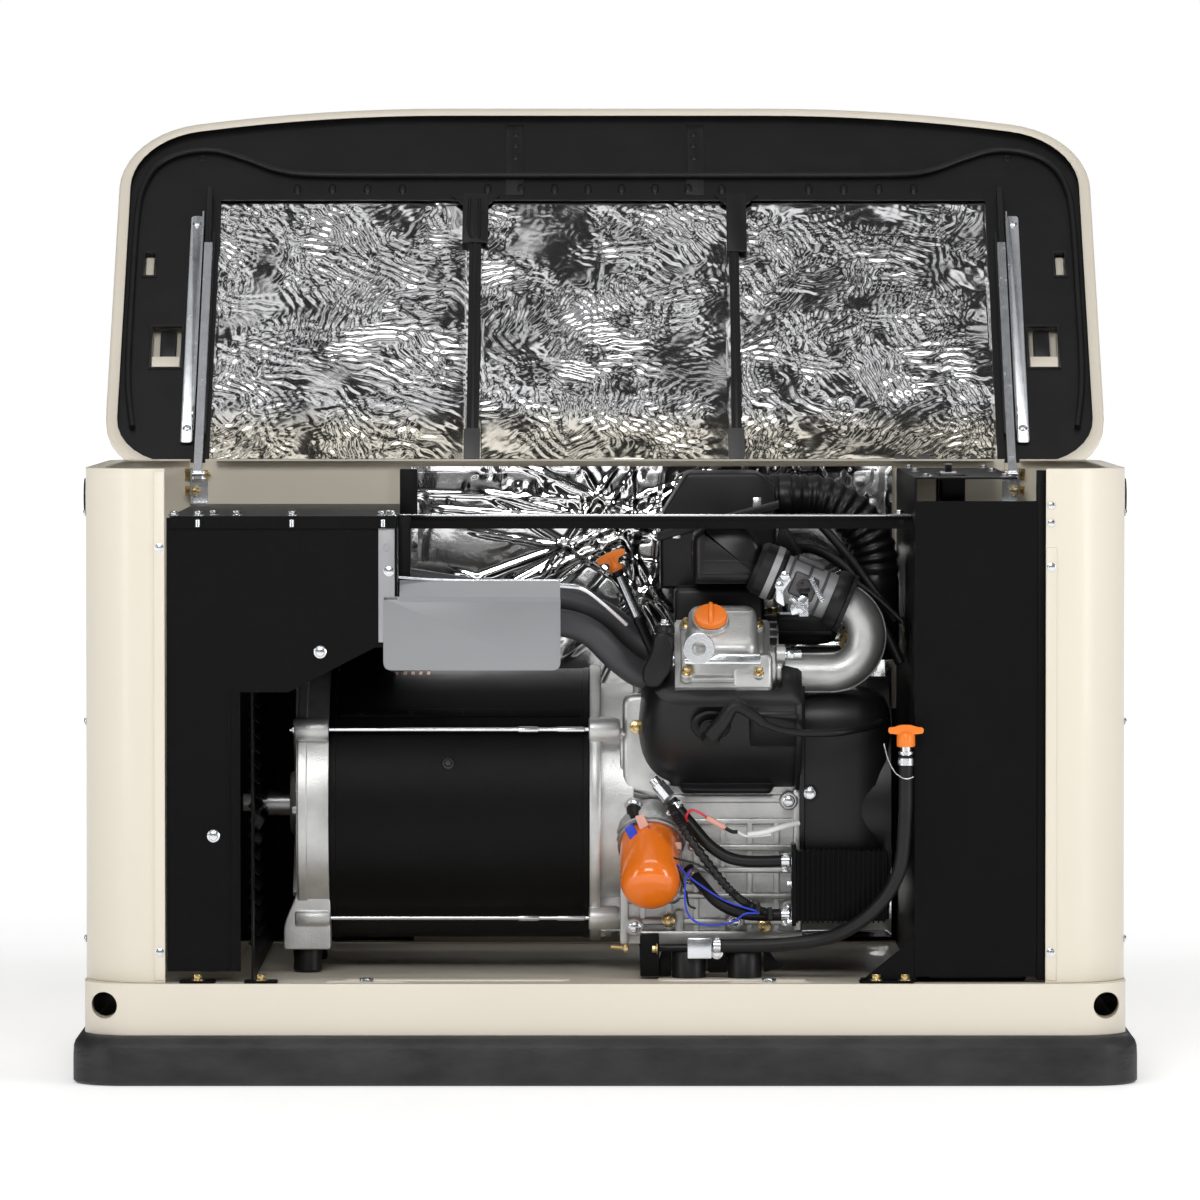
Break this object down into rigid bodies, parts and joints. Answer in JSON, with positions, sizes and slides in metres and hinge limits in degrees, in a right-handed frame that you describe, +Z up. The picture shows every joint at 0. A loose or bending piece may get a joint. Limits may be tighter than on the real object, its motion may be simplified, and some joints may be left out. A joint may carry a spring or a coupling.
{
  "type": "home standby generator",
  "caption": "Home standby generator in a tan metal enclosure with its roof held open on stays, showing the air-cooled V-twin engine, alternator, muffler box and control box.",
  "frame": {"origin": "middle of the underside of the pad", "axes": "+X to the right along the length, +Y to the back where the roof hinges, +Z up"},
  "size_m": [1.218, 1.0792, 1.1388],
  "materials": {
    "composite_pad": "rough black composite with a swirled grain",
    "tan_paint": "satin tan powder coat",
    "black_paint": "fine textured black powder coat",
    "black_plastic": "moulded black plastic",
    "foil": "crinkled mirror foil on foam",
    "cast_alloy": "as-cast aluminium",
    "zinc": "bright zinc plate",
    "steel": "machined steel",
    "grey_steel": "matt aluminised steel",
    "copper_winding": "varnished copper windings",
    "orange_plastic": "moulded orange plastic",
    "orange_paint": "gloss orange enamel",
    "rubber": "black rubber",
    "gold_zinc": "yellow zinc plate"
  },
  "bodies": {
    "enclosure": {"base_pad": "composite_pad", "base_pan": "tan_paint", "left_side_panel": "tan_paint", "right_side_panel": "tan_paint", "rear_panel": "tan_paint", "front_rail": "black_paint", "duct_front_panel": "black_paint", "duct_top_plate": "black_paint", "duct_divider": "black_paint", "right_front_panel": "black_paint", "right_partition": "black_paint", "right_top_plate": "black_paint", "rear_insulation": "foil", "stay_brackets": "zinc", "body_hinge_leaves": "black_paint", "alternator_can": "black_paint", "end_bell": "cast_alloy", "stator": "copper_winding", "tie_bolts": "zinc", "rotor_bearing": "steel", "crankcase": "cast_alloy", "blower_housing": "black_plastic", "cylinders": "cast_alloy", "cylinder_heads": "cast_alloy", "front_cylinder_wrap": "black_plastic", "rocker_covers": "cast_alloy", "lifting_eye": "zinc", "dipstick_tube": "black_plastic", "oil_filter": "orange_paint", "oil_cooler": "black_paint", "hoses_and_leads": "rubber", "intake_manifold": "cast_alloy", "throttle_body": "grey_steel", "airbox": "black_plastic", "exhaust": "grey_steel", "heat_shield": "grey_steel", "mounts_and_starter": "rubber", "battery_and_controls": "black_plastic", "fasteners": "gold_zinc"},
    "roof": {"roof_shell": "tan_paint", "roof_liner": "black_plastic", "roof_seal": "rubber", "roof_insulation": "foil", "stay_rails": "zinc", "roof_hinge_leaves": "black_paint"},
    "left_stay": {"left_stay_arm": "zinc"},
    "right_stay": {"right_stay_arm": "zinc"},
    "left_lock": {"left_lock": "black_plastic"},
    "right_lock": {"right_lock": "black_plastic"},
    "crank": {"crankshaft": "steel", "rotor": "steel", "flywheel_fan": "black_plastic"},
    "cam": {"camshaft": "steel"},
    "front_piston": {"front_piston": "cast_alloy"},
    "rear_piston": {"rear_piston": "cast_alloy"},
    "oil_cap": {"oil_cap": "orange_plastic"},
    "drain_cap": {"drain_cap": "orange_plastic"},
    "dipstick": {"dipstick": "orange_plastic"},
    "throttle": {"throttle_lever": "zinc"},
    "breaker": {"breaker_toggle": "steel"}
  },
  "joints": [
    {"name": "roof_hinge", "type": "hinge", "parent": "enclosure", "child": "roof", "pos_m": [0, 0.302, 0.699], "axis": [-1, 0, 0], "range_deg": [-135, 0]},
    {"name": "left_stay_pivot", "type": "hinge", "parent": "enclosure", "child": "left_stay", "pos_m": [-0.493, 0.284, 0.684], "axis": [-1, 0, 0], "range_deg": [-133.4, 0]},
    {"name": "right_stay_pivot", "type": "hinge", "parent": "enclosure", "child": "right_stay", "pos_m": [0.493, 0.284, 0.684], "axis": [-1, 0, 0], "range_deg": [-133.4, 0]},
    {"name": "left_lock_turn", "type": "hinge", "parent": "enclosure", "child": "left_lock", "pos_m": [-0.597, -0.1, 0.666], "axis": [-1, 0, 0], "range_deg": [0, 90]},
    {"name": "right_lock_turn", "type": "hinge", "parent": "enclosure", "child": "right_lock", "pos_m": [0.597, -0.1, 0.666], "axis": [1, 0, 0], "range_deg": [0, 90]},
    {"name": "crank_spin", "type": "hinge", "parent": "enclosure", "child": "crank", "pos_m": [0, -0.04, 0.306], "axis": [1, 0, 0], "continuous": true},
    {"name": "cam_spin", "type": "hinge", "parent": "enclosure", "child": "cam", "pos_m": [0, -0.04, 0.409], "axis": [1, 0, 0], "continuous": true},
    {"name": "front_piston_stroke", "type": "slide", "parent": "enclosure", "child": "front_piston", "axis": [0, -0.6428, 0.766], "range_m": [-0.03, 0.026]},
    {"name": "rear_piston_stroke", "type": "slide", "parent": "enclosure", "child": "rear_piston", "axis": [0, 0.6428, 0.766], "range_m": [-0.03, 0.026]},
    {"name": "oil_cap_turn", "type": "hinge", "parent": "enclosure", "child": "oil_cap", "pos_m": [0.121, -0.22334, 0.53072], "axis": [0, -0.6428, 0.766], "range_deg": [0, 90]},
    {"name": "drain_cap_turn", "type": "hinge", "parent": "enclosure", "child": "drain_cap", "pos_m": [0.342, -0.3065, 0.397], "axis": [0, 0, 1], "range_deg": [0, 90]},
    {"name": "dipstick_pull", "type": "slide", "parent": "enclosure", "child": "dipstick", "axis": [-0.4051, 0, 0.9143], "range_m": [0, 0.15]},
    {"name": "throttle_turn", "type": "hinge", "parent": "enclosure", "child": "throttle", "pos_m": [0.228, -0.178, 0.565], "axis": [0, -1, 0], "range_deg": [0, 75], "stiffness_Nm_per_rad": 0.02},
    {"name": "breaker_flip", "type": "hinge", "parent": "enclosure", "child": "breaker", "pos_m": [0.4, -0.07, 0.692], "axis": [-1, 0, 0], "range_deg": [0, 40]}
  ],
  "couplings": [
    {"joint": "left_stay_pivot", "follows": "roof_hinge", "ratio": 0.98615},
    {"joint": "right_stay_pivot", "follows": "roof_hinge", "ratio": 0.98615},
    {"joint": "cam_spin", "follows": "crank_spin", "ratio": -0.5}
  ]
}
